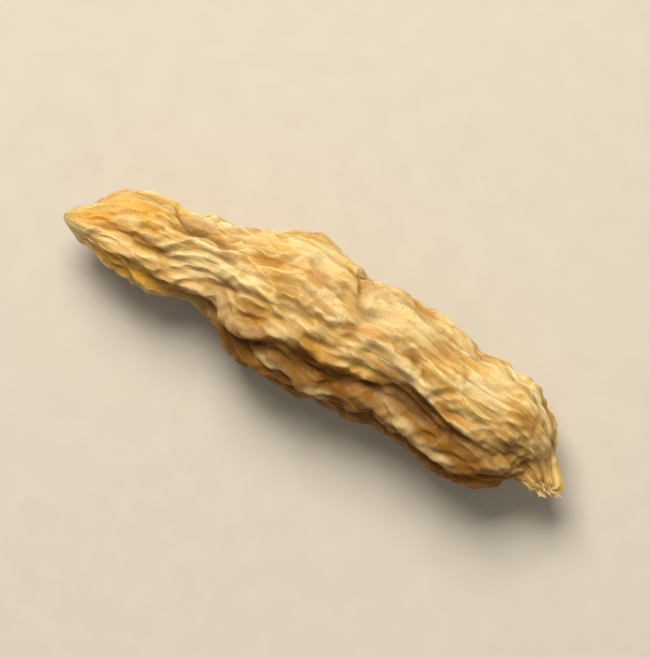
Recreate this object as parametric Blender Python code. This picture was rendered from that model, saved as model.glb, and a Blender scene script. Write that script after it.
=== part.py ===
"""One dried ophiopogon tuber, lying on its side on a level surface.

The tuber is one piece: a bent, knobbly spindle whose skin shrank into lengthwise wrinkles as it
dried. +Z is up and +X runs from its slender tip to its blunt end, which keeps a stub of the root
that it swelled from. The origin is on the surface, under the middle of the tuber's box.

The skin is a grid of rings threaded on a curved spine. A place on it is given by its distance
along the spine, in metres, and its turn round the spine, in radians: 0 is the far side (+Y), a
quarter turn is the crown, half a turn is the near side (-Y) and three quarters is the belly.
"""

from types import SimpleNamespace

import bpy
import numpy as np

MM = 0.001

# The stations that the spine and the skin pass through, in millimetres: the spine's place along,
# across and above the surface, then half the tuber's width and half its thickness there. The
# body is 26 mm long and 7.2 mm wide at its thickest, and the last two stations are the root stub.
STATIONS_MM = np.array(
    [
        (0.0, 0.06, 3.05, 0.46, 0.46),
        (1.0, 0.20, 2.98, 0.86, 0.90),
        (2.0, 0.56, 2.90, 1.50, 1.44),
        (3.1, 0.80, 2.84, 1.98, 1.84),
        (4.4, 0.78, 2.78, 2.12, 1.98),
        (5.6, 0.74, 2.72, 1.98, 1.96),
        (7.0, 1.02, 2.68, 2.00, 2.06),
        (8.4, 1.08, 2.66, 2.22, 2.28),
        (9.8, 0.90, 2.74, 3.10, 2.62),
        (11.2, 0.88, 2.84, 3.60, 2.82),
        (12.6, 0.72, 2.82, 3.57, 2.90),
        (14.2, 0.42, 2.73, 3.32, 2.88),
        (16.2, 0.50, 2.71, 3.28, 2.86),
        (18.2, 0.32, 2.72, 3.08, 2.78),
        (20.2, -0.08, 2.76, 2.95, 2.68),
        (22.2, -0.40, 2.80, 3.12, 2.58),
        (23.8, -0.56, 2.84, 2.88, 2.30),
        (24.9, -0.86, 2.82, 2.10, 1.72),
        (25.6, -1.10, 2.84, 1.36, 1.02),
        (26.05, -1.46, 2.88, 0.92, 0.58),
        (26.45, -1.95, 2.88, 0.72, 0.38),
    ]
)

# How far from each end of the spine the skin rounds off
TIP_ROUNDING = 0.9 * MM
STUB_ROUNDING = 0.25 * MM

# A ring stands square to the spine's run over this distance either way
RING_LEAN = 1.5 * MM

# The belly sinks into a small flat spot, and its edge is eased over this height
FLAT_EASING = 0.07 * MM

# The folds and wrinkles grow from the tip over the first distance, die away over the second
# stretch before the stub's end, and come in above the flat spot between the last two heights
TIP_CALM = 1.6 * MM
STUB_CALM = (0.2 * MM, 1.5 * MM)
BELLY_CALM = (0.02 * MM, 0.26 * MM)

# Where folds and wrinkles heap up, they come near this height or depth and don't pass it
RELIEF_LIMIT = 0.60 * MM

# The root stub, a flattened strip: where it starts along the spine, the puckered collar that it
# comes out of, the fibres that show as ribs round it, and the hollow along its crown
STUB_START = 25.9 * MM
STUB_BLEND = (-0.3 * MM, 0.5 * MM)
COLLAR_DEPTH = 0.12 * MM
COLLAR_HALF_WIDTH = 0.32 * MM
STUB_RIBS = 11
STUB_RIB_HEIGHT = 0.04 * MM
STUB_HOLLOW = 0.13 * MM
HOLLOW_SPREAD = np.radians(34)

# The stub's torn end: how far back the skin is drawn out lengthwise, how far it reaches out at
# the far side and at both sides, and its jags as height, count and turn
TORN_REACH = 0.7 * MM
LONG_PRONG = 0.40 * MM
PRONGS = 0.24 * MM
JAGS = ((0.05 * MM, 5, 1.0), (0.03 * MM, 9, 0.0))

# The folds that show from a step away: each is its height in millimetres (below zero for a
# furrow, above for a crest), its half width in millimetres, and the places that it runs through,
# as millimetres along the spine and degrees round it.
FOLDS = (
    # the long wavy crest from the tip, and the furrow and lower crest beside it on the neck
    (0.26, 0.40, ((0.8, 112), (2.8, 122), (5.0, 116), (6.4, 126), (8.0, 134), (9.4, 136), (10.6, 128))),
    (0.26, 0.42, ((10.6, 128), (11.8, 114), (13.0, 102), (15.0, 98), (17.0, 98))),
    (-0.24, 0.30, ((1.4, 136), (3.4, 146), (5.0, 142), (6.6, 152), (8.2, 152))),
    (0.20, 0.40, ((3.0, 166), (5.0, 168), (7.0, 176), (9.0, 170))),
    # the furrow that parts the bright tip from the crest
    (-0.22, 0.28, ((1.2, 84), (3.0, 98), (4.6, 98), (6.0, 104), (7.4, 112))),
    # the deep furrow along the near flank, and the crest and finer furrow above it
    (-0.38, 0.46, ((10.6, 146), (11.6, 132), (12.6, 124), (14.2, 126), (15.4, 122), (17.0, 121))),
    (0.22, 0.30, ((12.0, 112), (13.6, 110), (15.4, 113), (17.2, 112))),
    (-0.20, 0.28, ((11.6, 106), (13.4, 104), (15.6, 106), (17.6, 104), (18.6, 108))),
    # the winding crest, the furrows on both sides of it, and the hollow at its foot
    (0.26, 0.36, ((16.4, 84), (18.0, 86), (19.0, 92), (19.8, 100), (20.6, 106), (22.0, 104))),
    (-0.22, 0.34, ((15.4, 88), (17.2, 94), (18.6, 98), (19.4, 108))),
    (-0.20, 0.32, ((18.4, 80), (19.8, 88), (20.8, 96), (22.4, 92), (24.2, 96))),
    (-0.38, 0.72, ((17.8, 114), (18.8, 114), (19.6, 116))),
    # the furrow that runs on to the stub, and the lobes of the near flank below it
    (-0.32, 0.62, ((19.6, 117), (21.4, 114), (23.2, 108), (25.0, 100))),
    (0.24, 0.42, ((20.4, 138), (21.8, 138), (22.8, 132), (23.8, 125), (25.0, 118))),
    (0.22, 0.50, ((11.4, 158), (13.4, 150), (15.4, 152))),
    (0.24, 0.55, ((17.2, 140), (18.8, 136), (20.2, 142))),
    (-0.26, 0.38, ((12.6, 168), (16.2, 160), (19.6, 162), (23.2, 154))),
    # the steps in the far outline, behind the hump and behind the tip
    (-0.30, 0.60, ((13.3, 2), (13.9, 24), (14.5, 44), (15.2, 60))),
    (-0.26, 0.40, ((4.9, 14), (5.9, 42), (7.2, 60))),
    # the far side, low down
    (-0.34, 0.50, ((3.4, 342), (7.4, 336), (11.6, 344), (15.6, 334))),
    (-0.32, 0.46, ((15.0, 356), (18.4, 348), (21.8, 354), (25.0, 372))),
    (-0.28, 0.44, ((10.8, 12), (12.2, 8), (14.0, 14))),
    (-0.30, 0.48, ((17.6, 322), (21.0, 316), (24.8, 330))),
    # the near side, low down
    (-0.34, 0.48, ((4.2, 218), (7.8, 206), (11.4, 212), (15.0, 200))),
    (-0.32, 0.50, ((13.6, 226), (17.6, 218), (21.4, 206), (25.0, 196))),
)

# How far along the spine a fold dies away past its ends
FOLD_FADE = 1.2 * MM

# The broad swells and the wrinkles between the folds. Each set is waves across the skin, each
# wave kept to its own patch and at its own slant from lengthwise, in radians.
SWELLS = SimpleNamespace(
    patches=240, spacing=2.2 * MM, height=0.13 * MM, length=1.9 * MM, width=1.4 * MM,
    depth=2.0 * MM, slant=0.70, seed=5,
)
WRINKLES = SimpleNamespace(
    patches=520, spacing=1.05 * MM, height=0.13 * MM, length=1.40 * MM, width=0.80 * MM,
    depth=1.2 * MM, slant=0.42, seed=11,
)

# How often each patch's wave is drawn to its neighbours', and how well the waves at a place
# have to agree to stand at their full height
ALIGNING_PASSES = 3
AGREEMENT = 0.3

# Where the wrinkles lean together, in the same numbers as the smooth places below, and by how
# much, in radians
LEANING_PLACES = ((8.0, 96, 4.0, 50), (22.6, 100, 2.6, 40))
LEAN = -0.28

# Where the skin stayed smoother: millimetres along and degrees round, then how far that reaches
SMOOTH_PLACES = (
    (2.6, 56, 1.6, 30),
    (11.2, 36, 1.8, 26),
    (15.4, 56, 2.6, 32),
    (20.2, 52, 4.2, 40),
)
SMOOTHING = 0.75

# The steps along and round the skin that its directions are worked out over
DIRECTION_STEP = 0.02 * MM
DIRECTION_TURN = 0.01

RINGS = 76
SIDES = 76
# How much closer together the rings are at both ends, from 0, even, to 1
RING_CROWDING = 0.4

SKIN_COLOUR = (0.52, 0.31, 0.11, 1.0)
SKIN_ROUGHNESS = 0.62


def curve_through(knots, values, at):
    """The values of a smooth curve through the knots, read at each place in at."""
    slopes = np.gradient(values, knots, axis=0)
    i = np.clip(np.searchsorted(knots, at) - 1, 0, len(knots) - 2)
    gap = (knots[i + 1] - knots[i])[..., None]
    t = (at - knots[i])[..., None] / gap
    rise = values[i + 1] - values[i]
    return (
        values[i]
        + t * gap * slopes[i]
        + t**2 * (3 * rise - gap * (2 * slopes[i] + slopes[i + 1]))
        + t**3 * (gap * (slopes[i] + slopes[i + 1]) - 2 * rise)
    )


def knots_along(stations):
    """How far along the spine each station is."""
    steps = np.linalg.norm(np.diff(stations[:, :3], axis=0), axis=1)
    return np.concatenate([[0], np.cumsum(steps)])


STATIONS = STATIONS_MM * MM
KNOTS = knots_along(STATIONS)
SPINE_LENGTH = KNOTS[-1]


def rounding(distance, radius):
    """How much of its full size a ring has at this distance from a rounded end."""
    short = 1 - np.clip(distance / radius, 0, 1)
    return np.sqrt(1 - short**2)


def unit(vectors):
    lengths = np.linalg.norm(vectors, axis=-1, keepdims=True)
    return vectors / np.maximum(lengths, 1e-12)


def smooth_step(value, low, high):
    t = np.clip((value - low) / (high - low), 0, 1)
    return t * t * (3 - 2 * t)


def turned_from(turn, facing):
    """How far each turn is from the one faced, the shorter way round."""
    return (turn - facing + np.pi) % (2 * np.pi) - np.pi


def nearness(places, along, turn):
    """How near each place is to one of these places: 1 in its middle, 0 well outside it."""
    near = np.zeros(along.shape)
    for middle, facing, reach, spread in places:
        off = turned_from(turn, np.radians(facing)) / np.radians(spread)
        far = ((along / MM - middle) / reach) ** 2 + off**2
        near = np.maximum(near, np.exp(-far))
    return near


def skin_heading(along):
    """Unit vectors along the spine, which the rings stand square to."""
    ahead = curve_through(KNOTS, STATIONS, np.minimum(along + RING_LEAN, SPINE_LENGTH))
    behind = curve_through(KNOTS, STATIONS, np.maximum(along - RING_LEAN, 0))
    return unit(ahead[..., :3] - behind[..., :3])


def plain_skin(along, turn):
    """The skin before it wrinkles."""
    station = curve_through(KNOTS, STATIONS, along)
    heading = skin_heading(along)
    side = unit(np.cross((0, 0, 1), heading))
    up = np.cross(heading, side)
    ends = rounding(along, TIP_ROUNDING) * rounding(SPINE_LENGTH - along, STUB_ROUNDING)
    return (
        station[..., :3]
        + side * (station[..., 3] * ends * np.cos(turn))[..., None]
        + up * (station[..., 4] * ends * np.sin(turn))[..., None]
    )


def skin_directions(along, turn):
    """Unit vectors lengthwise, crosswise and outwards at each place on the plain skin."""
    before = np.maximum(along - DIRECTION_STEP, 0)
    after = np.minimum(along + DIRECTION_STEP, SPINE_LENGTH)
    lengthwise = plain_skin(after, turn) - plain_skin(before, turn)
    crosswise = plain_skin(along, turn + DIRECTION_TURN) - plain_skin(along, turn - DIRECTION_TURN)
    outwards = unit(np.cross(crosswise, lengthwise))
    lengthwise = unit(lengthwise)
    return lengthwise, np.cross(lengthwise, outwards), outwards


def fold_heights(along, turn):
    """How far the folds raise or sink the skin."""
    girth = curve_through(KNOTS, STATIONS, along)[..., 3:].mean(axis=-1)
    height = np.zeros(along.shape)
    for depth, half_width, places in FOLDS:
        route = np.array(places, float)
        marks, turns = route[:, 0] * MM, np.radians(route[:, 1])
        middle = curve_through(marks, turns[:, None], np.clip(along, marks[0], marks[-1]))[..., 0]
        past = np.maximum(marks[0] - along, 0) + np.maximum(along - marks[-1], 0)
        across = turned_from(turn, middle) * girth / (half_width * MM)
        height += depth * MM * np.exp(-(across**2) - (past / FOLD_FADE) ** 2)
    return height


def wave_patches(kind):
    """A set's patches: their places, directions and phases, each phase drawn to its neighbours'."""
    rng = np.random.default_rng(kind.seed)
    along = SPINE_LENGTH * rng.random(kind.patches)
    turn = 2 * np.pi * rng.random(kind.patches)
    slant = kind.slant * rng.standard_normal(kind.patches)
    slant += LEAN * nearness(LEANING_PLACES, along, turn)
    lengthwise, crosswise, outwards = skin_directions(along, turn)
    cos, sin = np.cos(slant)[:, None], np.sin(slant)[:, None]
    patches = SimpleNamespace(
        centre=plain_skin(along, turn),
        lengthwise=lengthwise * cos + crosswise * sin,
        crosswise=crosswise * cos - lengthwise * sin,
        outwards=outwards,
        phase=2 * np.pi * rng.random(kind.patches),
    )
    for _ in range(ALIGNING_PASSES):
        patches.phase = np.angle(summed_waves(kind, patches, patches.centre)[0])
    return patches


def summed_waves(kind, patches, points):
    """The patches' waves summed at each point, as complex numbers, and their summed weights."""
    total = np.zeros(len(points), complex)
    weights = np.zeros(len(points))
    for i, centre in enumerate(patches.centre):
        away = points - centre
        lengthwise = away @ patches.lengthwise[i]
        crosswise = away @ patches.crosswise[i]
        outwards = away @ patches.outwards[i]
        weight = np.exp(
            -((lengthwise / kind.length) ** 2)
            - (crosswise / kind.width) ** 2
            - (outwards / kind.depth) ** 2
        )
        wave = 2 * np.pi * crosswise / kind.spacing + patches.phase[i]
        total += weight * np.exp(1j * wave)
        weights += weight
    return total, weights


def wave_heights(kind, shape, points):
    """A set of waves as heights, where shape gives the height at each phase of a wave."""
    total, weights = summed_waves(kind, wave_patches(kind), points)
    agreement = np.clip(np.abs(total) / np.maximum(weights, 1e-9) / AGREEMENT, 0, 1)
    return kind.height * agreement * shape(np.angle(total))


def round_crests(phase):
    """Rounded crests with narrow creases between them, level over a whole wave."""
    return 2 * np.abs(np.cos(phase / 2)) - 4 / np.pi


def kept_height(along, points):
    """How much of their height the folds and wrinkles keep near the ends and the flat spot."""
    tip = smooth_step(along, 0, TIP_CALM)
    stub = smooth_step(SPINE_LENGTH - along, *STUB_CALM)
    return tip * stub * smooth_step(points[:, 2], *BELLY_CALM)


def stub_relief(along, turn):
    """The stub's ribs, the hollow that runs along its crown, and the sunken collar round it."""
    stub = smooth_step(along - STUB_START, *STUB_BLEND)
    hollow = np.exp(-((turned_from(turn, np.pi / 2) / HOLLOW_SPREAD) ** 2))
    collar = np.exp(-(((along - STUB_START) / COLLAR_HALF_WIDTH) ** 2))
    ribs = STUB_RIB_HEIGHT * round_crests(STUB_RIBS * turn)
    return stub * (ribs - STUB_HOLLOW * hollow) - COLLAR_DEPTH * collar


def skin_relief(along, turn, points):
    """How far the folds, swells, wrinkles and the stub's own forms raise or sink the skin."""
    height = fold_heights(along, turn) + wave_heights(SWELLS, np.cos, points)
    share = 1 - SMOOTHING * nearness(SMOOTH_PLACES, along, turn)
    height += share * wave_heights(WRINKLES, round_crests, points)
    height = RELIEF_LIMIT * np.tanh(height / RELIEF_LIMIT)
    return kept_height(along, points) * height + stub_relief(along, turn)


def torn_end(along, turn):
    """How far the stub's torn end is drawn out lengthwise: two prongs, the far one longer."""
    rim = rounding(SPINE_LENGTH - along, STUB_ROUNDING)
    near_end = smooth_step(along, SPINE_LENGTH - TORN_REACH, SPINE_LENGTH)
    reach = LONG_PRONG * np.cos(turn) + PRONGS * np.cos(2 * turn)
    for height, count, start in JAGS:
        reach = reach + height * np.cos(count * turn + start)
    return near_end * rim * reach


def settled(height):
    """Heights above the surface once the belly has settled into its flat spot."""
    eased = (height + FLAT_EASING) ** 2 / (4 * FLAT_EASING)
    return np.where(height > FLAT_EASING, height, np.where(height < -FLAT_EASING, 0, eased))


def wrinkled_skin(along, turn):
    """Points on the finished skin, for arrays of places along and round the spine."""
    points = plain_skin(along, turn)
    outwards = skin_directions(along, turn)[2]
    height = skin_relief(along, turn, points)
    points = points + outwards * height[:, None] + skin_heading(along) * torn_end(along, turn)[:, None]
    points[:, 2] = settled(points[:, 2])
    return points


def ring_places(count):
    """Distances of the rings along the spine, closer together at both ends."""
    share = np.linspace(0, 1, count + 2)[1:-1]
    rounded = (1 - np.cos(np.pi * share)) / 2
    return SPINE_LENGTH * ((1 - RING_CROWDING) * share + RING_CROWDING * rounded)


def skin_faces(skin, places, turns):
    """Three-sided faces of the skin, each pair cut along the diagonal that fits it closer."""
    middles = wrinkled_skin(
        np.repeat((places[1:] + places[:-1]) / 2, SIDES),
        np.tile(turns + np.pi / SIDES, RINGS - 1),
    )
    faces = []
    for row in range(RINGS - 1):
        for side in range(SIDES):
            beside = (side + 1) % SIDES
            near, far = row * SIDES, (row + 1) * SIDES
            a, b, c, d = near + side, near + beside, far + beside, far + side
            middle = middles[row * SIDES + side]
            along_ac = np.linalg.norm((skin[a] + skin[c]) / 2 - middle)
            along_bd = np.linalg.norm((skin[b] + skin[d]) / 2 - middle)
            if along_ac < along_bd:
                faces += [(a, b, c), (a, c, d)]
            else:
                faces += [(a, b, d), (b, c, d)]
    return faces


def tuber_mesh():
    """The closed skin: rings of faces between two poles."""
    places = ring_places(RINGS)
    turns = 2 * np.pi * np.arange(SIDES) / SIDES
    skin = wrinkled_skin(np.repeat(places, SIDES), np.tile(turns, RINGS))
    poles = wrinkled_skin(np.array([0.0, SPINE_LENGTH]), np.zeros(2))
    points = np.vstack([skin, poles])
    low, high = points.min(axis=0), points.max(axis=0)
    points -= ((low[0] + high[0]) / 2, (low[1] + high[1]) / 2, 0)

    faces = skin_faces(skin, places, turns)
    last = (RINGS - 1) * SIDES
    tip, stub = len(skin), len(skin) + 1
    for side in range(SIDES):
        beside = (side + 1) % SIDES
        faces.append((tip, beside, side))
        faces.append((stub, last + side, last + beside))
    mesh = bpy.data.meshes.new("tuber")
    mesh.from_pydata(points.tolist(), [], faces)
    mesh.shade_smooth()
    return mesh


def skin_material():
    material = bpy.data.materials.new("dried_skin")
    material.use_nodes = True
    shader = material.node_tree.nodes["Principled BSDF"]
    shader.inputs["Base Color"].default_value = SKIN_COLOUR
    shader.inputs["Roughness"].default_value = SKIN_ROUGHNESS
    shader.inputs["Metallic"].default_value = 0.0
    return material


def main():
    for old in list(bpy.data.objects):
        bpy.data.objects.remove(old)
    tuber = bpy.data.objects.new("tuber", tuber_mesh())
    tuber.data.materials.append(skin_material())
    bpy.context.scene.collection.objects.link(tuber)


main()
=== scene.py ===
"""The looks of one dried ophiopogon tuber: its wrinkled waxy skin and its frayed root stub.

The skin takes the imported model's form again, from the same stations, folds and wrinkles, on a
grid fine enough to show each wrinkle. A finer set of wrinkles runs between them. The hair
creases and the stub's fibres come from Geometry Nodes. A place on the skin is its distance along
the spine, in metres, and its turn round it, in radians: 0 is the far side (+Y), a quarter turn
is the crown, half a turn is the near side (-Y) and three quarters is the belly.
"""

from types import SimpleNamespace

import bpy
import numpy as np
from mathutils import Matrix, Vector


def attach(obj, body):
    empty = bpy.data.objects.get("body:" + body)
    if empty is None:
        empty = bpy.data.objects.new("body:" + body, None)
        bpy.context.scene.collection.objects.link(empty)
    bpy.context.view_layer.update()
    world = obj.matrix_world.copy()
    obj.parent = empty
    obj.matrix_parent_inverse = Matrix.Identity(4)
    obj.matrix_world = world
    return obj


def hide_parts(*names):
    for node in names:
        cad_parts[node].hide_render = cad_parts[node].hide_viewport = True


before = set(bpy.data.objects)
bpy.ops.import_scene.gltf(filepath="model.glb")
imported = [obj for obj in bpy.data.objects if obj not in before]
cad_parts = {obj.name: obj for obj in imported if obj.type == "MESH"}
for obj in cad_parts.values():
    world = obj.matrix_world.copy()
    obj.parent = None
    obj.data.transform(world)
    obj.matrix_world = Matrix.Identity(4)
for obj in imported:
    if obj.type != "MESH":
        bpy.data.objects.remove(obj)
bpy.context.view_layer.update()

MM = 0.001

# The form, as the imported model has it

# The stations that the spine and the skin pass through, in millimetres: the spine's place along,
# across and above the surface, then half the tuber's width and half its thickness there
STATIONS_MM = np.array(
    [
        (0.0, 0.06, 3.05, 0.46, 0.46),
        (1.0, 0.20, 2.98, 0.86, 0.90),
        (2.0, 0.56, 2.90, 1.50, 1.44),
        (3.1, 0.80, 2.84, 1.98, 1.84),
        (4.4, 0.78, 2.78, 2.12, 1.98),
        (5.6, 0.74, 2.72, 1.98, 1.96),
        (7.0, 1.02, 2.68, 2.00, 2.06),
        (8.4, 1.08, 2.66, 2.22, 2.28),
        (9.8, 0.90, 2.74, 3.10, 2.62),
        (11.2, 0.88, 2.84, 3.60, 2.82),
        (12.6, 0.72, 2.82, 3.57, 2.90),
        (14.2, 0.42, 2.73, 3.32, 2.88),
        (16.2, 0.50, 2.71, 3.28, 2.86),
        (18.2, 0.32, 2.72, 3.08, 2.78),
        (20.2, -0.08, 2.76, 2.95, 2.68),
        (22.2, -0.40, 2.80, 3.12, 2.58),
        (23.8, -0.56, 2.84, 2.88, 2.30),
        (24.9, -0.86, 2.82, 2.10, 1.72),
        (25.6, -1.10, 2.84, 1.36, 1.02),
        (26.05, -1.46, 2.88, 0.92, 0.58),
        (26.45, -1.95, 2.88, 0.72, 0.38),
    ]
)
TIP_ROUNDING = 0.9 * MM
STUB_ROUNDING = 0.25 * MM
RING_LEAN = 1.5 * MM
FLAT_EASING = 0.07 * MM

# The folds and wrinkles grow from the tip over the first distance, die away over the second
# stretch before the stub's end, and come in above the flat spot between the last two heights
TIP_CALM = 1.6 * MM
STUB_CALM = (0.2 * MM, 1.5 * MM)
BELLY_CALM = (0.02 * MM, 0.26 * MM)

# Where folds and wrinkles heap up, they come near this height or depth and don't pass it
RELIEF_LIMIT = 0.60 * MM

# The root stub, a flattened strip: where it starts along the spine, the puckered collar that it
# comes out of, the fibres that show as ribs round it, and the hollow along its crown
STUB_START = 25.9 * MM
STUB_BLEND = (-0.3 * MM, 0.5 * MM)
COLLAR_DEPTH = 0.12 * MM
COLLAR_HALF_WIDTH = 0.32 * MM
STUB_RIBS = 11
STUB_RIB_HEIGHT = 0.04 * MM
STUB_HOLLOW = 0.13 * MM
HOLLOW_SPREAD = np.radians(34)

# The stub's torn end: how far back the skin is drawn out lengthwise, how far it reaches out at
# the far side and at both sides, and its jags as height, count and turn
TORN_REACH = 0.7 * MM
LONG_PRONG = 0.40 * MM
PRONGS = 0.24 * MM
JAGS = ((0.05 * MM, 5, 1.0), (0.03 * MM, 9, 0.0))

# The fibres grow from the torn end's face, which reaches this far back from it
TORN_FACE = 0.3 * STUB_ROUNDING

# Each fold's height and half width in millimetres, and the places that it runs through, as
# millimetres along the spine and degrees round it
FOLDS = (
    # the long wavy crest from the tip, and the furrow and lower crest beside it on the neck
    (
        0.26, 0.40,
        ((0.8, 112), (2.8, 122), (5.0, 116), (6.4, 126), (8.0, 134), (9.4, 136), (10.6, 128)),
    ),
    (0.26, 0.42, ((10.6, 128), (11.8, 114), (13.0, 102), (15.0, 98), (17.0, 98))),
    (-0.24, 0.30, ((1.4, 136), (3.4, 146), (5.0, 142), (6.6, 152), (8.2, 152))),
    (0.20, 0.40, ((3.0, 166), (5.0, 168), (7.0, 176), (9.0, 170))),
    # the furrow that parts the bright tip from the crest
    (-0.22, 0.28, ((1.2, 84), (3.0, 98), (4.6, 98), (6.0, 104), (7.4, 112))),
    # the deep furrow along the near flank, and the crest and finer furrow above it
    (-0.38, 0.46, ((10.6, 146), (11.6, 132), (12.6, 124), (14.2, 126), (15.4, 122), (17.0, 121))),
    (0.22, 0.30, ((12.0, 112), (13.6, 110), (15.4, 113), (17.2, 112))),
    (-0.20, 0.28, ((11.6, 106), (13.4, 104), (15.6, 106), (17.6, 104), (18.6, 108))),
    # the winding crest, the furrows on both sides of it, and the hollow at its foot
    (0.26, 0.36, ((16.4, 84), (18.0, 86), (19.0, 92), (19.8, 100), (20.6, 106), (22.0, 104))),
    (-0.22, 0.34, ((15.4, 88), (17.2, 94), (18.6, 98), (19.4, 108))),
    (-0.20, 0.32, ((18.4, 80), (19.8, 88), (20.8, 96), (22.4, 92), (24.2, 96))),
    (-0.38, 0.72, ((17.8, 114), (18.8, 114), (19.6, 116))),
    # the furrow that runs on to the stub, and the lobes of the near flank below it
    (-0.32, 0.62, ((19.6, 117), (21.4, 114), (23.2, 108), (25.0, 100))),
    (0.24, 0.42, ((20.4, 138), (21.8, 138), (22.8, 132), (23.8, 125), (25.0, 118))),
    (0.22, 0.50, ((11.4, 158), (13.4, 150), (15.4, 152))),
    (0.24, 0.55, ((17.2, 140), (18.8, 136), (20.2, 142))),
    (-0.26, 0.38, ((12.6, 168), (16.2, 160), (19.6, 162), (23.2, 154))),
    # the steps in the far outline, behind the hump and behind the tip
    (-0.30, 0.60, ((13.3, 2), (13.9, 24), (14.5, 44), (15.2, 60))),
    (-0.26, 0.40, ((4.9, 14), (5.9, 42), (7.2, 60))),
    # the far side, low down
    (-0.34, 0.50, ((3.4, 342), (7.4, 336), (11.6, 344), (15.6, 334))),
    (-0.32, 0.46, ((15.0, 356), (18.4, 348), (21.8, 354), (25.0, 372))),
    (-0.28, 0.44, ((10.8, 12), (12.2, 8), (14.0, 14))),
    (-0.30, 0.48, ((17.6, 322), (21.0, 316), (24.8, 330))),
    # the near side, low down
    (-0.34, 0.48, ((4.2, 218), (7.8, 206), (11.4, 212), (15.0, 200))),
    (-0.32, 0.50, ((13.6, 226), (17.6, 218), (21.4, 206), (25.0, 196))),
)
FOLD_FADE = 1.2 * MM

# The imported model's swells and wrinkles, and the finer ones between them. Each set is waves
# across the skin, each wave kept to its own patch and at its own slant from lengthwise, in
# radians.
SWELLS = SimpleNamespace(
    patches=240, spacing=2.2 * MM, height=0.13 * MM, length=1.9 * MM, width=1.4 * MM,
    depth=2.0 * MM, slant=0.70, seed=5,
)
WRINKLES = SimpleNamespace(
    patches=520, spacing=1.05 * MM, height=0.13 * MM, length=1.40 * MM, width=0.80 * MM,
    depth=1.2 * MM, slant=0.42, seed=11,
)
FINE_WRINKLES = SimpleNamespace(
    patches=1600, spacing=0.55 * MM, height=0.075 * MM, length=0.80 * MM, width=0.46 * MM,
    depth=0.7 * MM, slant=0.46, seed=23,
)
CREST_ROUNDING = 0.01
ALIGNING_PASSES = 3
AGREEMENT = 0.3
WINDOW = 3.2

# Where the wrinkles lean together, in the same numbers as the smooth places below, and by how
# much, in radians
LEANING_PLACES = ((8.0, 96, 4.0, 50), (22.6, 100, 2.6, 40))
LEAN = -0.28

# Where the skin stayed smoother: millimetres along and degrees round, then how far that reaches.
# The wrinkles, and then the finer ones, lose this share of their height in the middle of it.
SMOOTH_PLACES = (
    (2.6, 56, 1.6, 30),
    (11.2, 36, 1.8, 26),
    (15.4, 56, 2.6, 32),
    (20.2, 52, 4.2, 40),
)
SMOOTHING = 0.75
FINE_SMOOTHING = 0.45

# Places of another colour, in the same numbers, by the name of the colour: the skin's own tones,
# and painted light and shade
TONE_AND_PAINTED_LIGHT_PLACES = {
    "golden": (
        (2.4, 70, 2.4, 34), (4.0, 146, 4.0, 30), (14.2, 112, 3.4, 13), (22.0, 138, 3.4, 20),
        (5.0, 300, 2.4, 40),
    ),
    "orange": ((15.9, 76, 0.9, 7), (12.1, 62, 0.7, 10), (9.0, 330, 1.2, 20)),
    "cream": ((2.8, 76, 0.7, 12), (7.4, 100, 2.2, 20), (12.0, 40, 1.0, 14), (16.0, 54, 1.8, 24)),
    # darker amber skin in places, and painted shade in furrows and beneath crests
    "amber": (
        (2.4, 94, 1.0, 7), (4.0, 98, 0.8, 9), (3.8, 130, 0.7, 10), (5.8, 142, 1.0, 8),
        (6.2, 52, 0.8, 9), (8.2, 76, 0.6, 7), (8.7, 106, 0.6, 6), (10.5, 108, 0.8, 6),
        (14.8, 80, 0.6, 6), (22.9, 106, 1.6, 5), (24.4, 66, 0.7, 9),
    ),
    # painted shade on the lower near flank and the belly
    "painted_flank_shade": (
        (6.0, 212, 5.4, 44), (14.0, 158, 7.0, 50), (22.0, 158, 6.0, 52), (13.0, 250, 14.0, 60),
    ),
    # painted shade in the furrows and hollows
    "brown": (
        (11.7, 130, 0.9, 7), (14.8, 124, 1.5, 7), (17.0, 104, 0.6, 5), (18.2, 80, 0.6, 6),
        (18.9, 112, 1.0, 9), (21.0, 114, 1.5, 9), (24.6, 97, 0.5, 9), (18.0, 156, 1.6, 8),
    ),
    "grey": ((18.9, 116, 1.0, 15), (24.4, 110, 1.2, 14), (22.8, 128, 1.0, 9), (19.4, 330, 2.2, 22)),
    # painted highlight on crests and lobes
    "pale": (
        (2.0, 62, 0.9, 14), (3.0, 76, 0.6, 12), (15.2, 66, 0.8, 7), (17.8, 44, 0.8, 12),
        (21.9, 40, 0.7, 12), (12.2, 112, 0.9, 6), (15.8, 108, 0.9, 5), (17.6, 86, 0.9, 5),
        (18.9, 90, 0.7, 6), (20.0, 98, 0.6, 6), (21.8, 106, 0.9, 5), (12.3, 142, 1.0, 4),
        (15.0, 148, 0.8, 8), (17.9, 122, 0.5, 5), (19.5, 134, 0.7, 7), (21.4, 139, 1.2, 5),
        (19.0, 20, 1.6, 20),
    ),
}

# The height or depth that the material reads as relief 1 or -1
RELIEF_RANGE = 0.3 * MM

# The pale places are painted highlight on the crests and the brown ones painted shade in the
# furrows: over this span of relief the first come in and the second go
CREST_SPAN = (-0.9, 0.7)

# The girth that the run attribute measures turns round, in millimetres
MEAN_GIRTH = 3.0

# The steps along and round the skin that its directions are worked out over
DIRECTION_STEP = 0.02 * MM
DIRECTION_TURN = 0.01

RINGS = 340
SIDES = 288
# How much closer together the rings are at both ends, from 0, even, to 1
RING_CROWDING = 0.4


def curve_through(knots, values, at):
    """The values of a smooth curve through the knots, read at each place in at."""
    slopes = np.gradient(values, knots, axis=0)
    i = np.clip(np.searchsorted(knots, at) - 1, 0, len(knots) - 2)
    gap = (knots[i + 1] - knots[i])[..., None]
    t = (at - knots[i])[..., None] / gap
    rise = values[i + 1] - values[i]
    return (
        values[i]
        + t * gap * slopes[i]
        + t**2 * (3 * rise - gap * (2 * slopes[i] + slopes[i + 1]))
        + t**3 * (gap * (slopes[i] + slopes[i + 1]) - 2 * rise)
    )


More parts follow.
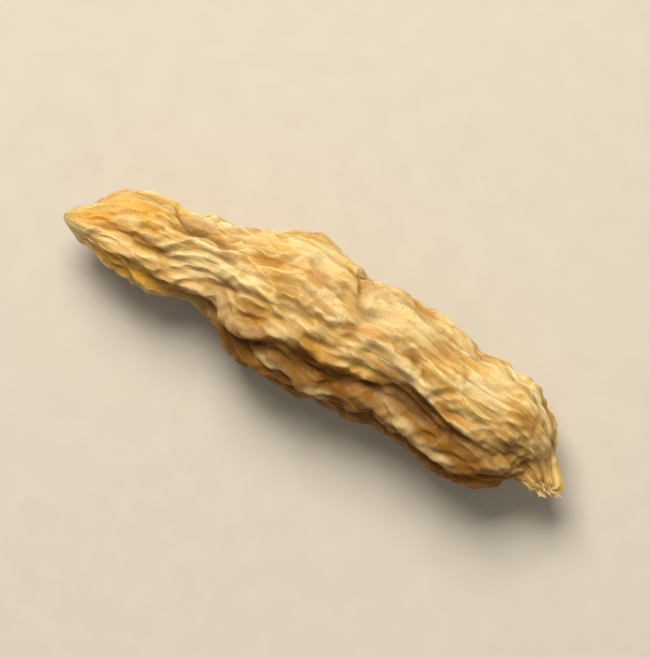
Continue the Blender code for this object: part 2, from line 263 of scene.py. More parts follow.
def knots_along(stations):
    """How far along the spine each station is."""
    steps = np.linalg.norm(np.diff(stations[:, :3], axis=0), axis=1)
    return np.concatenate([[0], np.cumsum(steps)])


STATIONS = STATIONS_MM * MM
KNOTS = knots_along(STATIONS)
SPINE_LENGTH = KNOTS[-1]


def rounding(distance, radius):
    """How much of its full size a ring has at this distance from a rounded end."""
    short = 1 - np.clip(distance / radius, 0, 1)
    return np.sqrt(1 - short**2)


def unit(vectors):
    """The vectors at length one."""
    lengths = np.linalg.norm(vectors, axis=-1, keepdims=True)
    return vectors / np.maximum(lengths, 1e-12)


def smooth_step(value, low, high):
    """0 up to low, 1 from high on, and an eased rise between them."""
    t = np.clip((value - low) / (high - low), 0, 1)
    return t * t * (3 - 2 * t)


def skin_heading(along):
    """Unit vectors along the spine, which the rings stand square to."""
    ahead = curve_through(KNOTS, STATIONS, np.minimum(along + RING_LEAN, SPINE_LENGTH))
    behind = curve_through(KNOTS, STATIONS, np.maximum(along - RING_LEAN, 0))
    return unit(ahead[..., :3] - behind[..., :3])


def plain_skin(along, turn):
    """The skin before it wrinkles."""
    station = curve_through(KNOTS, STATIONS, along)
    heading = skin_heading(along)
    side = unit(np.cross((0, 0, 1), heading))
    up = np.cross(heading, side)
    ends = rounding(along, TIP_ROUNDING) * rounding(SPINE_LENGTH - along, STUB_ROUNDING)
    return (
        station[..., :3]
        + side * (station[..., 3] * ends * np.cos(turn))[..., None]
        + up * (station[..., 4] * ends * np.sin(turn))[..., None]
    )


def skin_directions(along, turn):
    """Unit vectors lengthwise, crosswise and outwards at each place on the plain skin."""
    before = np.maximum(along - DIRECTION_STEP, 0)
    after = np.minimum(along + DIRECTION_STEP, SPINE_LENGTH)
    lengthwise = plain_skin(after, turn) - plain_skin(before, turn)
    crosswise = plain_skin(along, turn + DIRECTION_TURN) - plain_skin(along, turn - DIRECTION_TURN)
    outwards = unit(np.cross(crosswise, lengthwise))
    lengthwise = unit(lengthwise)
    return lengthwise, np.cross(lengthwise, outwards), outwards


def turned_from(turn, facing):
    """How far each turn is from the one faced, the shorter way round."""
    return (turn - facing + np.pi) % (2 * np.pi) - np.pi


def fold_heights(along, turn):
    """How far the folds raise or sink the skin."""
    girth = curve_through(KNOTS, STATIONS, along)[..., 3:].mean(axis=-1)
    height = np.zeros(along.shape)
    for depth, half_width, places in FOLDS:
        route = np.array(places, float)
        marks, turns = route[:, 0] * MM, np.radians(route[:, 1])
        middle = curve_through(marks, turns[:, None], np.clip(along, marks[0], marks[-1]))[..., 0]
        past = np.maximum(marks[0] - along, 0) + np.maximum(along - marks[-1], 0)
        across = turned_from(turn, middle) * girth / (half_width * MM)
        height += depth * MM * np.exp(-(across**2) - (past / FOLD_FADE) ** 2)
    return height


def wave_patches(kind):
    """A set's patches: their places, directions and phases, each phase drawn to its neighbours'."""
    rng = np.random.default_rng(kind.seed)
    along = SPINE_LENGTH * rng.random(kind.patches)
    turn = 2 * np.pi * rng.random(kind.patches)
    slant = kind.slant * rng.standard_normal(kind.patches)
    slant += LEAN * nearness(LEANING_PLACES, along, turn)
    phase = 2 * np.pi * rng.random(kind.patches)
    order = np.argsort(along)
    along, turn, slant, phase = along[order], turn[order], slant[order], phase[order]
    lengthwise, crosswise, outwards = skin_directions(along, turn)
    cos, sin = np.cos(slant)[:, None], np.sin(slant)[:, None]
    patches = SimpleNamespace(
        along=along,
        centre=plain_skin(along, turn),
        lengthwise=lengthwise * cos + crosswise * sin,
        crosswise=crosswise * cos - lengthwise * sin,
        outwards=outwards,
        phase=phase,
    )
    for _ in range(ALIGNING_PASSES):
        patches.phase = np.angle(summed_waves(kind, patches, along, patches.centre)[0])
    return patches


def summed_waves(kind, patches, along, points):
    """The patches' waves summed at each point, and their summed weights.

    The points run in order along the spine, so each patch only meets those within its window.
    """
    total = np.zeros(len(points), complex)
    weights = np.zeros(len(points))
    starts = np.searchsorted(along, patches.along - WINDOW * kind.length)
    stops = np.searchsorted(along, patches.along + WINDOW * kind.length)
    for i, centre in enumerate(patches.centre):
        near = slice(starts[i], stops[i])
        away = points[near] - centre
        lengthwise = away @ patches.lengthwise[i]
        crosswise = away @ patches.crosswise[i]
        outwards = away @ patches.outwards[i]
        weight = np.exp(
            -((lengthwise / kind.length) ** 2)
            - (crosswise / kind.width) ** 2
            - (outwards / kind.depth) ** 2
        )
        wave = 2 * np.pi * crosswise / kind.spacing + patches.phase[i]
        total[near] += weight * np.exp(1j * wave)
        weights[near] += weight
    return total, weights


def wave_heights(kind, shape, along, points):
    """A set of waves as heights, where shape gives the height at each phase of a wave."""
    total, weights = summed_waves(kind, wave_patches(kind), along, points)
    agreement = np.clip(np.abs(total) / np.maximum(weights, 1e-9) / AGREEMENT, 0, 1)
    return kind.height * agreement * shape(np.angle(total))


def round_crests(phase):
    """Rounded crests with narrow creases between them, level over a whole wave."""
    return 2 * np.abs(np.cos(phase / 2)) - 4 / np.pi


def thin_crests(phase):
    """Narrow crests with rounded hollows between them, level over a whole wave."""
    return 4 / np.pi - 2 * np.sqrt(np.sin(phase / 2) ** 2 + CREST_ROUNDING)


def nearness(places, along, turn):
    """How near each place is to one of these places: 1 in its middle, 0 well outside it."""
    near = np.zeros(along.shape)
    for middle, facing, reach, spread in places:
        off = turned_from(turn, np.radians(facing)) / np.radians(spread)
        far = ((along / MM - middle) / reach) ** 2 + off**2
        near = np.maximum(near, np.exp(-far))
    return near


def settled(height):
    """Heights above the surface once the belly has settled into its flat spot."""
    eased = (height + FLAT_EASING) ** 2 / (4 * FLAT_EASING)
    return np.where(height > FLAT_EASING, height, np.where(height < -FLAT_EASING, 0, eased))


def stub_relief(along, turn):
    """The stub's ribs, the hollow that runs along its crown, and the sunken collar round it."""
    stub = smooth_step(along - STUB_START, *STUB_BLEND)
    hollow = np.exp(-((turned_from(turn, np.pi / 2) / HOLLOW_SPREAD) ** 2))
    collar = np.exp(-(((along - STUB_START) / COLLAR_HALF_WIDTH) ** 2))
    ribs = STUB_RIB_HEIGHT * round_crests(STUB_RIBS * turn)
    return stub * (ribs - STUB_HOLLOW * hollow) - COLLAR_DEPTH * collar


def torn_end(along, turn):
    """How far the stub's torn end is drawn out lengthwise: two prongs, the far one longer."""
    rim = rounding(SPINE_LENGTH - along, STUB_ROUNDING)
    near_end = smooth_step(along, SPINE_LENGTH - TORN_REACH, SPINE_LENGTH)
    reach = LONG_PRONG * np.cos(turn) + PRONGS * np.cos(2 * turn)
    for height, count, start in JAGS:
        reach = reach + height * np.cos(count * turn + start)
    return near_end * rim * reach


def kept_height(along, points):
    """How much of their height the folds and wrinkles keep near the ends and the flat spot."""
    tip = smooth_step(along, 0, TIP_CALM)
    stub = smooth_step(SPINE_LENGTH - along, *STUB_CALM)
    return tip * stub * smooth_step(points[:, 2], *BELLY_CALM)


def wrinkled_skin(along, turn):
    """The finished skin's points, and what the material and the finest creases need there."""
    points = plain_skin(along, turn)
    outwards = skin_directions(along, turn)[2]
    kept = kept_height(along, points)
    share = 1 - SMOOTHING * nearness(SMOOTH_PLACES, along, turn)
    relief = fold_heights(along, turn) + wave_heights(SWELLS, np.cos, along, points)
    relief += share * wave_heights(WRINKLES, round_crests, along, points)
    relief = RELIEF_LIMIT * np.tanh(relief / RELIEF_LIMIT)
    relief = kept * relief + stub_relief(along, turn)
    fine_share = 1 - FINE_SMOOTHING * nearness(SMOOTH_PLACES, along, turn)
    fine = kept * fine_share * wave_heights(FINE_WRINKLES, thin_crests, along, points)
    points = points + outwards * (relief + fine)[:, None]
    points += skin_heading(along) * torn_end(along, turn)[:, None]
    points[:, 2] = settled(points[:, 2])
    return SimpleNamespace(
        points=points,
        relief=relief / RELIEF_RANGE,
        fine=fine / FINE_WRINKLES.height,
        share=kept * fine_share,
    )


def ring_places(count):
    """Distances of the rings along the spine, closer together at both ends."""
    share = np.linspace(0, 1, count + 2)[1:-1]
    rounded = (1 - np.cos(np.pi * share)) / 2
    return SPINE_LENGTH * ((1 - RING_CROWDING) * share + RING_CROWDING * rounded)


def skin_faces():
    """Faces for points that run from the tip's pole, ring by ring, to the stub's pole."""
    ring, side = np.meshgrid(np.arange(RINGS - 1), np.arange(SIDES), indexing="ij")
    a = 1 + ring * SIDES + side
    b = 1 + ring * SIDES + (side + 1) % SIDES
    quads = np.stack([a, b, b + SIDES, a + SIDES], axis=-1).reshape(-1, 4)
    side = np.arange(SIDES)
    beside = (side + 1) % SIDES
    last = 1 + (RINGS - 1) * SIDES
    tips = np.stack([0 * side, 1 + beside, 1 + side], axis=-1)
    stubs = np.stack([0 * side + last + SIDES, last + side, last + beside], axis=-1)
    return quads.tolist() + tips.tolist() + stubs.tolist()


def skin_map():
    """Where the faces' corners lie on a flat map: turn across it, distance up it, both 0 to 1."""
    ring, side = np.meshgrid(np.arange(1, RINGS), np.arange(SIDES), indexing="ij")
    corners = [(side, ring), (side + 1, ring), (side + 1, ring + 1), (side, ring + 1)]
    side = np.arange(SIDES)
    first, last = 0 * side + 1, 0 * side + RINGS
    tips = [(side + 0.5, first - 1), (side + 1, first), (side, first)]
    stubs = [(side + 0.5, last + 1), (side, last), (side + 1, last)]
    faces = [
        np.stack([np.stack(corner, axis=-1) for corner in kind], axis=-2)
        for kind in (corners, tips, stubs)
    ]
    return np.concatenate([face.reshape(-1, 2) for face in faces]) / (SIDES, RINGS + 1)


def skin_mesh():
    """The closed skin, with what its material and its finest creases read at each point."""
    turns = 2 * np.pi * np.arange(SIDES) / SIDES
    along = np.concatenate([[0], np.repeat(ring_places(RINGS), SIDES), [SPINE_LENGTH]])
    turn = np.concatenate([[0], np.tile(turns, RINGS), [0]])
    skin = wrinkled_skin(along, turn)
    low, high = skin.points.min(axis=0), skin.points.max(axis=0)
    skin.points -= ((low[0] + high[0]) / 2, (low[1] + high[1]) / 2, 0)

    mesh = bpy.data.meshes.new("skin")
    mesh.from_pydata(skin.points.tolist(), [], skin_faces())
    mesh.shade_smooth()
    mesh.uv_layers.new(name="OFBake").data.foreach_set("uv", skin_map().ravel())
    run = np.stack([along / MM, MEAN_GIRTH * np.cos(turn), MEAN_GIRTH * np.sin(turn)], axis=-1)
    mesh.attributes.new("run", "FLOAT_VECTOR", "POINT").data.foreach_set("vector", run.ravel())
    marks = {"relief": skin.relief, "ribs": skin.fine, "creased": skin.share}
    marks["stub"] = smooth_step(along - STUB_START, *STUB_BLEND)
    marks.update({name: nearness(places, along, turn) for name, places in TONE_AND_PAINTED_LIGHT_PLACES.items()})
    # painted highlight only on the crests, painted shade only in the furrows
    on_crest = smooth_step(skin.relief, *CREST_SPAN)
    marks["pale"] *= on_crest
    marks["brown"] *= 1 - on_crest
    for name, values in marks.items():
        mesh.attributes.new(name, "FLOAT", "POINT").data.foreach_set("value", values)
    return mesh


def torn_face(mesh):
    """The faces of the stub's torn end, as a mesh of their own."""
    rings = int((ring_places(RINGS) > SPINE_LENGTH - TORN_FACE).sum())
    points = [v.co[:] for v in mesh.vertices[-1 - rings * SIDES :]]
    first = len(mesh.vertices) - len(points)
    faces = [[v - first for v in face.vertices] for face in mesh.polygons]
    torn = bpy.data.meshes.new("torn_face")
    torn.from_pydata(points, [], [face for face in faces if min(face) >= 0])
    return torn


# Materials

# The Mix node's sockets for a factor and two colours, and for the colour that it gives
MIX_FACTOR, MIX_FIRST, MIX_SECOND, MIX_RESULT = 0, 6, 7, 2


def linear(code):
    """A colour written as sRGB hex, turned to the linear values that a shader takes."""
    channels = [int(code[i : i + 2], 16) / 255 for i in (1, 3, 5)]
    return [c / 12.92 if c <= 0.04045 else ((c + 0.055) / 1.055) ** 2.4 for c in channels] + [1.0]


def add(tree, kind, inputs=None, **settings):
    """Adds a node with these settings. Each input is a value or another node's output."""
    made = tree.nodes.new(kind)
    for name, value in settings.items():
        setattr(made, name, value)
    for key, value in (inputs or {}).items():
        if isinstance(value, bpy.types.NodeSocket):
            tree.links.new(value, made.inputs[key])
        else:
            made.inputs[key].default_value = value
    return made


def new_material(name):
    material = bpy.data.materials.new(name)
    material.use_nodes = True
    return material, material.node_tree, material.node_tree.nodes["Principled BSDF"]


def laid_over(tree, colour, mask, span, strength, tint):
    """Lays a tint over a colour, from none where the mask is span[0] to strength at span[1]."""
    share = add(
        tree,
        "ShaderNodeMapRange",
        {"Value": mask, "From Min": span[0], "From Max": span[1], "To Max": strength},
        interpolation_type="SMOOTHSTEP",
    )
    inputs = {MIX_FACTOR: share.outputs["Result"], MIX_FIRST: colour, MIX_SECOND: linear(tint)}
    return add(tree, "ShaderNodeMix", inputs, data_type="RGBA").outputs[MIX_RESULT]


def root_skin():
    """The dried skin of a sugar-rich root: waxy, a little see-through, golden brown.

    Its crests are painted paler, as painted highlight, and its furrows, fine hollows and creases
    darker, as painted shade, so the colour follows the relief. The lower near flank and belly are
    painted darker too, as painted shade. The wax gives the crests a soft shine, and a fine grain
    keeps the skin from looking like clay.
    """
    material, tree, shader = new_material("dried_waxy_root_skin")
    names = ("relief", "ribs", "creases", "stub", *TONE_AND_PAINTED_LIGHT_PLACES)
    at = {
        name: add(tree, "ShaderNodeAttribute", attribute_name=name).outputs["Fac"]
        for name in names
    }
    run = add(tree, "ShaderNodeAttribute", attribute_name="run").outputs["Vector"]
    place = add(tree, "ShaderNodeTexCoord").outputs["Object"]

    mottle = add(
        tree, "ShaderNodeTexNoise", {"Vector": place, "Scale": 1 / (2.6 * MM), "Detail": 3.0}
    ).outputs["Fac"]
    # the run is in millimetres: patches 1.1 mm wide and 2 mm long
    stretched = add(
        tree, "ShaderNodeVectorMath", {0: run, 1: (0.5, 0.9, 0.9)}, operation="MULTIPLY"
    ).outputs["Vector"]
    patches = add(
        tree,
        "ShaderNodeTexNoise",
        {"Vector": stretched, "Scale": 1.0, "Detail": 3.0, "Distortion": 0.6},
    ).outputs["Fac"]
    # streaks 0.35 mm wide and about 3 mm long
    streaked = add(
        tree, "ShaderNodeVectorMath", {0: run, 1: (0.33, 2.8, 2.8)}, operation="MULTIPLY"
    ).outputs["Vector"]
    streaks = add(
        tree, "ShaderNodeTexNoise", {"Vector": streaked, "Scale": 1.0, "Detail": 3.0}
    ).outputs["Fac"]
    flecks = add(
        tree, "ShaderNodeTexNoise", {"Vector": place, "Scale": 1 / (0.16 * MM), "Detail": 1.0}
    ).outputs["Fac"]

    grain = add(
        tree, "ShaderNodeTexNoise", {"Vector": place, "Scale": 1 / (0.09 * MM), "Detail": 3.0}
    ).outputs["Fac"]

    colour = laid_over(tree, linear("#dcb056"), mottle, (0.36, 0.66), 1.0, "#f0d692")
    colour = laid_over(tree, colour, patches, (0.46, 0.34), 0.4, "#d09b4c")
    colour = laid_over(tree, colour, patches, (0.52, 0.66), 0.75, "#f8e8b8")
    colour = laid_over(tree, colour, streaks, (0.46, 0.66), 0.5, "#f6e3a8")
    # painted highlight on crests, painted shade in furrows, fine hollows and creases
    colour = laid_over(tree, colour, at["relief"], (0.0, 0.9), 0.42, "#f9e6ae")
    colour = laid_over(tree, colour, at["relief"], (-0.05, -0.8), 0.33, "#a66e1c")
    colour = laid_over(tree, colour, at["ribs"], (0.2, 1.0), 0.45, "#fceeb8")
    colour = laid_over(tree, colour, at["ribs"], (-0.1, -0.8), 0.35, "#b6802a")
    colour = laid_over(tree, colour, at["creases"], (0.3, 1.0), 0.45, "#986820")
    colour = laid_over(tree, colour, at["golden"], (0.1, 1.0), 0.66, "#eab034")
    colour = laid_over(tree, colour, at["cream"], (0.1, 0.9), 0.45, "#f7e5b2")
    colour = laid_over(tree, colour, at["orange"], (0.1, 0.9), 0.5, "#d08a28")
    # darker amber skin, partly painted shade in furrows and beneath crests
    colour = laid_over(tree, colour, at["amber"], (0.1, 0.9), 0.7, "#94621a")
    # painted shade on the lower near flank and the belly
    colour = laid_over(tree, colour, at["painted_flank_shade"], (0.05, 0.75), 0.9, "#82520a")
    # painted shade deep in the furrows
    colour = laid_over(tree, colour, at["relief"], (-0.6, -1.6), 0.8, "#5c340a")
    # painted shade in the furrows and hollows
    colour = laid_over(tree, colour, at["brown"], (0.05, 0.75), 0.65, "#5e3a10")
    colour = laid_over(tree, colour, at["grey"], (0.1, 0.9), 0.3, "#7c6030")
    # painted highlight on the crests and lobes
    colour = laid_over(tree, colour, at["pale"], (0.05, 0.75), 0.54, "#f6e0a4")
    colour = laid_over(tree, colour, grain, (0.5, 0.72), 0.3, "#b8882e")
    colour = laid_over(tree, colour, flecks, (0.64, 0.74), 0.35, "#8a5c26")
    # the stub is straw-pale, with painted shade between its ribs and in its hollow
    stub = laid_over(tree, linear("#c68a30"), streaks, (0.37, 0.57), 1.0, "#fee094")
    stub = laid_over(tree, stub, at["relief"], (-0.1, -0.5), 0.55, "#a07028")
    inputs = {MIX_FACTOR: at["stub"], MIX_FIRST: colour, MIX_SECOND: stub}
    colour = add(tree, "ShaderNodeMix", inputs, data_type="RGBA").outputs[MIX_RESULT]
    tree.links.new(colour, shader.inputs["Base Color"])

    # the crests are rubbed smoother than the furrows
    gloss = add(
        tree,
        "ShaderNodeMapRange",
        {"Value": at["relief"], "From Min": -0.8, "From Max": 0.6, "To Min": 0.6, "To Max": 0.38},
    ).outputs["Result"]
    tree.links.new(gloss, shader.inputs["Roughness"])
    # lines 0.18 mm apart and about 2 mm long
    lined = add(
        tree, "ShaderNodeVectorMath", {0: run, 1: (0.5, 5.5, 5.5)}, operation="MULTIPLY"
    ).outputs["Vector"]
    lines = add(
        tree,
        "ShaderNodeTexNoise",
        {"Vector": lined, "Scale": 1.0, "Detail": 2.0, "Distortion": 0.4},
    ).outputs["Fac"]
    fine_lines = add(
        tree, "ShaderNodeBump", {"Height": lines, "Strength": 0.7, "Distance": 0.06 * MM}
    ).outputs["Normal"]
    bump = add(
        tree,
        "ShaderNodeBump",
        {"Height": grain, "Strength": 0.7, "Distance": 0.03 * MM, "Normal": fine_lines},
    ).outputs["Normal"]
    tree.links.new(bump, shader.inputs["Normal"])
    # the lower flanks, where shade is painted, are dusty and shine less
    shine = add(
        tree, "ShaderNodeMapRange", {"Value": at["painted_flank_shade"], "To Min": 0.28, "To Max": 0.08}
    ).outputs["Result"]
    tree.links.new(shine, shader.inputs["Specular IOR Level"])
    shader.inputs["IOR"].default_value = 1.46
    shader.inputs["Subsurface Weight"].default_value = 0.25
    shader.inputs["Subsurface Radius"].default_value = (1.0, 0.45, 0.18)
    shader.inputs["Subsurface Scale"].default_value = 0.5 * MM
    shader.inputs["Coat Weight"].default_value = 0.06
    shader.inputs["Coat Roughness"].default_value = 0.3
    return material


def root_fibre():
    """The stringy core of the root, torn and dried: matt, straw-pale, darker here and there."""
    material, tree, shader = new_material("torn_root_fibre")
    place = add(tree, "ShaderNodeTexCoord").outputs["Object"]
    noise = add(
        tree, "ShaderNodeTexNoise", {"Vector": place, "Scale": 1 / (0.3 * MM), "Detail": 2.0}
    ).outputs["Fac"]
    colour = laid_over(tree, linear("#c0924a"), noise, (0.35, 0.62), 1.0, "#f0d698")
    tree.links.new(colour, shader.inputs["Base Color"])
    shader.inputs["Roughness"].default_value = 0.7
    return material


def matt_paper():
    """A sheet of matt paper, which lies flat under the tuber and gives back no shine."""
    material, tree, shader = new_material("matt_paper")
    place = add(tree, "ShaderNodeTexCoord").outputs["Object"]
    pulp = add(
        tree, "ShaderNodeTexNoise", {"Vector": place, "Scale": 1 / (1.5 * MM), "Detail": 4.0}
    ).outputs["Fac"]
    colour = laid_over(tree, linear("#dbd6cc"), pulp, (0.3, 0.7), 1.0, "#dddad0")
    tree.links.new(colour, shader.inputs["Base Color"])
    shader.inputs["Roughness"].default_value = 0.9
    return material


# Geometry Nodes

def new_tree(name, sizes):
    """An empty tree that takes and gives a mesh, with a named input for each size."""
    tree = bpy.data.node_groups.new(name, "GeometryNodeTree")
    tree.interface.new_socket(name="Geometry", in_out="INPUT", socket_type="NodeSocketGeometry")
    for size in sizes:
        tree.interface.new_socket(name=size, in_out="INPUT", socket_type="NodeSocketFloat")
    tree.interface.new_socket(name="Material", in_out="INPUT", socket_type="NodeSocketMaterial")
    tree.interface.new_socket(name="Geometry", in_out="OUTPUT", socket_type="NodeSocketGeometry")
    return tree, add(tree, "NodeGroupInput").outputs


def end_tree(tree, given, geometry):
    """Ends a tree as plain smooth faces with their material."""
    smooth = add(tree, "GeometryNodeSetShadeSmooth", {"Geometry": geometry})
    real = add(tree, "GeometryNodeRealizeInstances", {"Geometry": smooth.outputs[0]})
    inputs = {"Geometry": real.outputs[0], "Material": given["Material"]}
    painted = add(tree, "GeometryNodeSetMaterial", inputs)
    add(tree, "NodeGroupOutput", {"Geometry": painted.outputs[0]})


def grown(mesh, name, tree, sizes, material):
    """The plain object that a tree makes from a mesh."""
    source = bpy.data.objects.new(name + "_source", mesh)
    bpy.context.scene.collection.objects.link(source)
    modifier = source.modifiers.new(name, "NODES")
    modifier.node_group = tree
    sockets = {s.name: s.identifier for s in tree.interface.items_tree if s.in_out == "INPUT"}
    for size, value in sizes.items():
        modifier[sockets[size]] = value
    modifier[sockets["Material"]] = material
    depsgraph = bpy.context.evaluated_depsgraph_get()
    made = bpy.data.meshes.new_from_object(
        source.evaluated_get(depsgraph), preserve_all_data_layers=True, depsgraph=depsgraph
    )
    made.name = name
    bpy.data.objects.remove(source)
    result = bpy.data.objects.new(name, made)
    bpy.context.scene.collection.objects.link(result)
    return result


# A crease is as wide as the noise that draws it stays this near to its middle value, and this span
# of another noise runs from the lowest pucker to the highest
CREASE_REACH = 0.10
PUCKER_SPAN = (0.3, 0.7)
CREASE_SIZES = {
    "Crease Spacing": 0.34,  # in millimetres, as the run attribute is
    "Crease Length": 2.6,
    "Crease Depth": 0.030 * MM,
    "Pucker Spacing": 0.45,
    "Pucker Height": 0.020 * MM,
    "Seed": 5.0,
}


def crease_tree():
    """Sinks fine winding creases lengthwise into the skin, and raises low puckers across them."""
    tree, given = new_tree("fine_creases", CREASE_SIZES)
    run = add(
        tree, "GeometryNodeInputNamedAttribute", {"Name": "run"}, data_type="FLOAT_VECTOR"
    ).outputs["Attribute"]
    share = add(
        tree, "GeometryNodeInputNamedAttribute", {"Name": "creased"}, data_type="FLOAT"
    ).outputs["Attribute"]

    across = add(tree, "ShaderNodeMath", {0: 1.0, 1: given["Crease Spacing"]}, operation="DIVIDE")
    lengthwise = add(
        tree, "ShaderNodeMath", {0: 1.0, 1: given["Crease Length"]}, operation="DIVIDE"
    )
    scale = add(
        tree,
        "ShaderNodeCombineXYZ",
        {"X": lengthwise.outputs[0], "Y": across.outputs[0], "Z": across.outputs[0]},
    )
    stretched = add(
        tree, "ShaderNodeVectorMath", {0: run, 1: scale.outputs[0]}, operation="MULTIPLY"
    )
    grain = add(
        tree,
        "ShaderNodeTexNoise",
        {"Vector": stretched.outputs[0], "W": given["Seed"], "Scale": 0.5, "Distortion": 0.3},
        noise_dimensions="4D",
    )
    # a crease runs wherever the noise crosses its middle value
    off = add(tree, "ShaderNodeMath", {0: grain.outputs[0], 1: 0.5}, operation="SUBTRACT")
    away = add(tree, "ShaderNodeMath", {0: off.outputs[0]}, operation="ABSOLUTE")
    crease = add(
        tree,
        "ShaderNodeMapRange",
        {"Value": away.outputs[0], "From Max": CREASE_REACH, "To Min": 1.0, "To Max": 0.0},
        interpolation_type="SMOOTHSTEP",
    ).outputs["Result"]
    kept = add(
        tree,
        "GeometryNodeStoreNamedAttribute",
        {"Geometry": given["Geometry"], "Name": "creases", "Value": crease},
        data_type="FLOAT",
    )

    closer = add(tree, "ShaderNodeMath", {0: 1.0, 1: given["Pucker Spacing"]}, operation="DIVIDE")
    puckers = add(
        tree,
        "ShaderNodeTexNoise",
        {"Vector": run, "W": given["Seed"], "Scale": closer.outputs[0], "Detail": 1.0},
        noise_dimensions="4D",
    )
    low, high = PUCKER_SPAN
    pucker = add(
        tree,
        "ShaderNodeMapRange",
        {"Value": puckers.outputs[0], "From Min": low, "From Max": high, "To Min": -1.0},
        interpolation_type="SMOOTHSTEP",
    ).outputs["Result"]
    raised = add(
        tree, "ShaderNodeMath", {0: pucker, 1: given["Pucker Height"]}, operation="MULTIPLY"
    )
    sunk = add(tree, "ShaderNodeMath", {0: crease, 1: given["Crease Depth"]}, operation="MULTIPLY")
    both = add(
        tree, "ShaderNodeMath", {0: raised.outputs[0], 1: sunk.outputs[0]}, operation="SUBTRACT"
    )
    height = add(tree, "ShaderNodeMath", {0: both.outputs[0], 1: share}, operation="MULTIPLY")
    outwards = add(tree, "GeometryNodeInputNormal").outputs["Normal"]
    offset = add(
        tree, "ShaderNodeVectorMath", {0: outwards, "Scale": height.outputs[0]}, operation="SCALE"
    )
    moved = add(
        tree, "GeometryNodeSetPosition", {"Geometry": kept.outputs[0], "Offset": offset.outputs[0]}
    )
    end_tree(tree, given, moved.outputs[0])
    return tree


STUB_HEADING = skin_heading(np.array([SPINE_LENGTH]))[0].tolist()

# Each fibre starts this deep in the stub, has this many points and sides, narrows to this share
# of its radius, and is drawn between these two scales
FIBRE_ROOT = 0.1 * MM
FIBRE_POINTS = 6
FIBRE_SIDES = 6
FIBRE_TAPER = 0.3
FIBRE_SCALES = (0.5, 1.1)
FIBRE_SIZES = {
    "Fibres Per Square Metre": 110 / MM**2,
    "Fibre Length": 0.42 * MM,
    "Fibre Radius": 0.028 * MM,
    "Fibre Bend": 0.07 * MM,
    "Fibre Lean": 0.16,
    "Seed": 4.0,
}


def fibre_tree():
    """Lays bent, tapering fibres out of the stub's torn end, each leaning its own way."""
    tree, given = new_tree("frayed_fibres", FIBRE_SIZES)
    tip = add(tree, "ShaderNodeCombineXYZ", {"Z": given["Fibre Length"]}).outputs[0]
    line = add(
        tree, "GeometryNodeCurvePrimitiveLine", {"Start": (0.0, 0.0, -FIBRE_ROOT), "End": tip}
    )
    steps = add(
        tree, "GeometryNodeResampleCurve", {"Curve": line.outputs[0], "Count": FIBRE_POINTS}
    )
    part = add(tree, "GeometryNodeSplineParameter").outputs["Factor"]
    rise = add(tree, "ShaderNodeMath", {0: part, 1: 2.0}, operation="POWER")
    bend = add(
        tree, "ShaderNodeMath", {0: rise.outputs[0], 1: given["Fibre Bend"]}, operation="MULTIPLY"
    )
    sideways = add(tree, "ShaderNodeCombineXYZ", {"X": bend.outputs[0]}).outputs[0]
    bent = add(
        tree, "GeometryNodeSetPosition", {"Geometry": steps.outputs[0], "Offset": sideways}
    )
    taper = add(
        tree, "ShaderNodeMapRange", {"Value": part, "To Min": 1.0, "To Max": FIBRE_TAPER}
    ).outputs["Result"]
    tapered = add(
        tree, "GeometryNodeSetCurveRadius", {"Curve": bent.outputs[0], "Radius": taper}
    )
    ring = add(
        tree,
        "GeometryNodeCurvePrimitiveCircle",
        {"Resolution": FIBRE_SIDES, "Radius": given["Fibre Radius"]},
    )
    fibre = add(
        tree,
        "GeometryNodeCurveToMesh",
        {"Curve": tapered.outputs[0], "Profile Curve": ring.outputs["Curve"], "Fill Caps": True},
    )

    points = add(
        tree,
        "GeometryNodeDistributePointsOnFaces",
        {
            "Mesh": given["Geometry"],
            "Density": given["Fibres Per Square Metre"],
            "Seed": given["Seed"],
        },
    )
    back = add(tree, "ShaderNodeMath", {0: 0.0, 1: given["Fibre Lean"]}, operation="SUBTRACT")
    spin = add(
        tree,
        "ShaderNodeCombineXYZ",
        {"X": given["Fibre Lean"], "Y": given["Fibre Lean"], "Z": np.pi},
    )
    unspin = add(
        tree, "ShaderNodeCombineXYZ", {"X": back.outputs[0], "Y": back.outputs[0], "Z": -np.pi}
    )
    lean = add(
        tree,
        "FunctionNodeRandomValue",
        {0: unspin.outputs[0], 1: spin.outputs[0], "Seed": given["Seed"]},
        data_type="FLOAT_VECTOR",
    )
    turned = add(tree, "FunctionNodeEulerToRotation", {"Euler": lean.outputs[0]})
    along_stub = add(
        tree, "FunctionNodeAlignRotationToVector", {"Vector": STUB_HEADING}, axis="Z"
    )
    rotation = add(
        tree,
        "FunctionNodeRotateRotation",
        {"Rotation": along_stub.outputs[0], "Rotate By": turned.outputs[0]},
        rotation_space="LOCAL",
    )
    smallest, largest = FIBRE_SCALES
    size = add(
        tree,
        "FunctionNodeRandomValue",
        {2: smallest, 3: largest, "Seed": given["Seed"]},
        data_type="FLOAT",
    )
    standing = add(
        tree,
        "GeometryNodeInstanceOnPoints",
        {
            "Points": points.outputs["Points"],
            "Instance": fibre.outputs[0],
            "Rotation": rotation.outputs[0],
            "Scale": size.outputs[1],
        },
    )
    end_tree(tree, given, standing.outputs[0])
    return tree


def declare(piece):
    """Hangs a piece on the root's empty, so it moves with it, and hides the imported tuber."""
    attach(piece, "root")
    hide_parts("tuber")


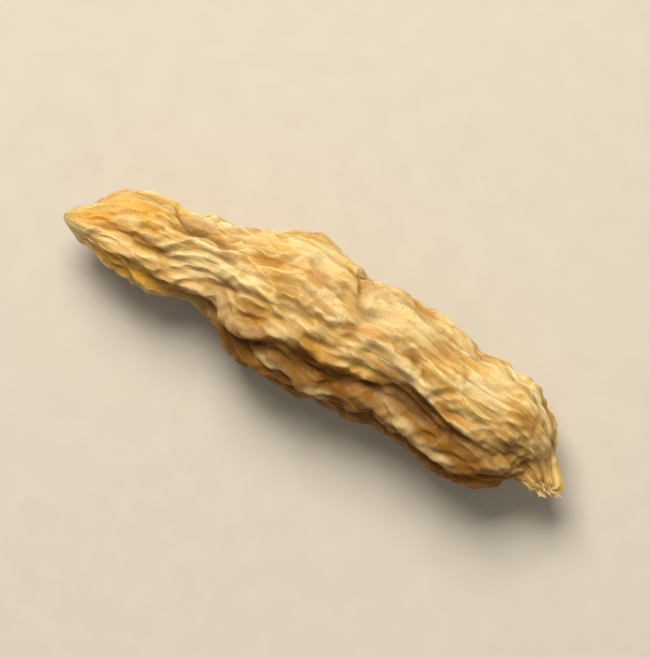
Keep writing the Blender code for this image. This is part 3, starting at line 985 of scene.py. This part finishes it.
def make_tuber():
    """The skin with its hair creases, and the fibres that fray out of its torn end."""
    mesh = skin_mesh()
    torn = torn_face(mesh)
    declare(grown(mesh, "tuber_skin", crease_tree(), CREASE_SIZES, root_skin()))
    declare(grown(torn, "frayed_fibres", fibre_tree(), FIBRE_SIZES, root_fibre()))


# The room

# The tuber lies this far off level in the picture, and the camera turns instead
PICTURE_TURN = np.radians(25.3)
CAMERA_HEIGHT = 0.265

# Half the floor's width, and the hair's breadth that it lies under the tuber
FLOOR_HALF = 0.6
FLOOR_GAP = 0.02 * MM


def make_floor():
    half = FLOOR_HALF
    corners = [(-half, -half), (half, -half), (half, half), (-half, half)]
    mesh = bpy.data.meshes.new("floor")
    mesh.from_pydata([(x, y, -FLOOR_GAP) for x, y in corners], [], [(0, 1, 2, 3)])
    mesh.materials.append(matt_paper())
    floor = bpy.data.objects.new("floor", mesh)
    bpy.context.scene.collection.objects.link(floor)


def add_lamp(name, place, width, power, colour):
    """A soft square lamp that faces the tuber."""
    lamp = bpy.data.lights.new(name, "AREA")
    lamp.size = width
    lamp.energy = power
    lamp.color = linear(colour)[:3]
    holder = bpy.data.objects.new(name, lamp)
    holder.location = place
    holder.rotation_euler = Vector(place).to_track_quat("Z", "Y").to_euler()
    bpy.context.scene.collection.objects.link(holder)


def make_lights():
    add_lamp("key", (-0.115, 0.15, 0.255), 0.17, 1.17, "#fff4e4")
    add_lamp("fill", (0.2, -0.16, 0.2), 0.25, 0.06, "#fff4e4")
    world = bpy.data.worlds.new("room")
    world.use_nodes = True
    background = world.node_tree.nodes["Background"]
    background.inputs["Color"].default_value = linear("#fffaf2")
    background.inputs["Strength"].default_value = 0.18
    bpy.context.scene.world = world


def make_camera():
    """Looks straight down, with the tuber filling the width of the picture."""
    camera = bpy.data.cameras.new("camera")
    camera.lens = 300
    camera.sensor_width = 36
    camera.clip_start = 0.01
    camera.clip_end = 5
    holder = bpy.data.objects.new("camera", camera)
    bpy.context.scene.collection.objects.link(holder)
    holder.location = (0.0, 0.0, CAMERA_HEIGHT)
    holder.rotation_euler = (0, 0, PICTURE_TURN)
    bpy.context.scene.camera = holder


make_tuber()
make_floor()
make_lights()
make_camera()
bpy.context.scene.view_settings.view_transform = "Standard"
